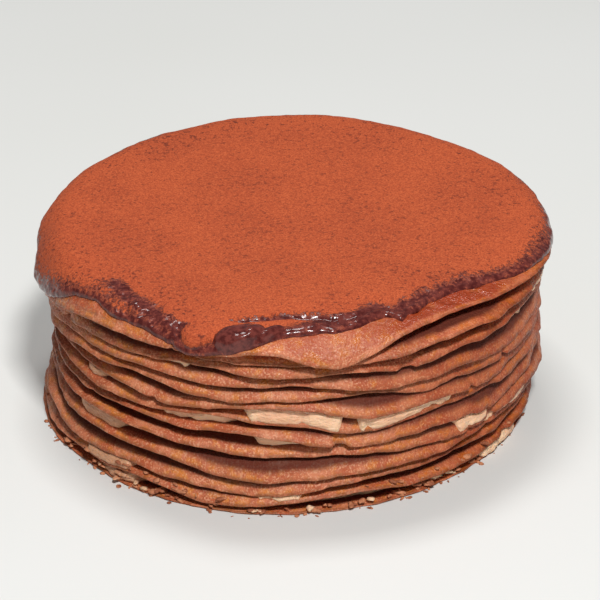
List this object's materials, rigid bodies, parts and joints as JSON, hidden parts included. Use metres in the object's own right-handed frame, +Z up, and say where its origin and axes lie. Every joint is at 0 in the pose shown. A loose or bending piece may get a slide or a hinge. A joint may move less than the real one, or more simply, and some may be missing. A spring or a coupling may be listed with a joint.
{
  "type": "chocolate crepe cake",
  "caption": "Round chocolate crepe cake: thin crepes with drooping edges, cream spread between them, and a cocoa-dusted ganache top that runs over the rim.",
  "frame": {"origin": "on the surface it stands on, under the middle of the cake's outline", "axes": "+Z up through the layers; -Y towards the side where the ganache runs over the rim in a thick bead; +X to the right of it"},
  "size_m": [0.2104, 0.2104, 0.08],
  "materials": {
    "crepe": "soft browned crepe, speckled, faintly moist",
    "cream": "smooth soft cream with a faint sheen",
    "ganache": "dark glossy ganache, dusted with matte cocoa on top"
  },
  "bodies": {
    "root": {"crepe_01": "crepe", "crepe_02": "crepe", "crepe_03": "crepe", "crepe_04": "crepe", "crepe_05": "crepe", "crepe_06": "crepe", "crepe_07": "crepe", "crepe_08": "crepe", "crepe_09": "crepe", "crepe_10": "crepe", "crepe_11": "crepe", "crepe_12": "crepe", "crepe_13": "crepe", "cream_01": "cream", "cream_02": "cream", "cream_03": "cream", "cream_04": "cream", "cream_05": "cream", "cream_06": "cream", "cream_07": "cream", "cream_08": "cream", "cream_09": "cream", "cream_10": "cream", "cream_11": "cream", "cream_12": "cream", "ganache": "ganache"}
  },
  "joints": []
}
